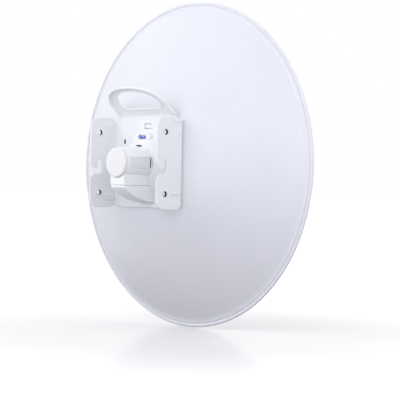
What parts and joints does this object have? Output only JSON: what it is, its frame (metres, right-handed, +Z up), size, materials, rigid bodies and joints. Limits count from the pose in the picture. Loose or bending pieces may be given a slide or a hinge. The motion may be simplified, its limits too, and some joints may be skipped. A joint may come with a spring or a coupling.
{
  "type": "wireless bridge dish antenna",
  "caption": "Compact wireless bridge dish: pressed white reflector, folded sheet bracket with carry handle and spirit level, and a radio housing with a clip-on port cover.",
  "frame": {"origin": "on the flat outer face of the right bracket flange, level with the dish's axis, between the hook slot and the bend", "axes": "+Y along the beam, out of the bowl; +Z up; +X to the right seen from behind the dish, out of the right flange"},
  "size_m": [0.42, 0.2285, 0.42],
  "materials": {
    "painted_dish": "satin white powder coat on pressed sheet",
    "painted_sheet": "satin white powder coat on folded sheet",
    "housing_plastic": "white moulded plastic",
    "cover_plastic": "white moulded plastic",
    "vial_liquid": "clear blue spirit level vial",
    "feed_plastic": "white moulded plastic",
    "bare_metal": "plain pressed aluminium"
  },
  "bodies": {
    "root": {"reflector_dish": "painted_dish", "bracket_base": "painted_sheet", "bracket_flange_left": "painted_sheet", "bracket_flange_right": "painted_sheet", "carry_handle": "painted_sheet", "level_carrier": "housing_plastic", "level_vial": "vial_liquid", "radio_housing": "housing_plastic", "cap_ring": "housing_plastic", "barrel_cap": "cover_plastic", "latch_arm_left": "housing_plastic", "latch_arm_right": "housing_plastic", "port_cover": "cover_plastic", "release_tab_left": "cover_plastic", "release_tab_right": "cover_plastic", "feed_collar": "feed_plastic", "feed_tube": "feed_plastic", "sub_reflector": "bare_metal", "feed_cap": "feed_plastic"}
  },
  "joints": []
}
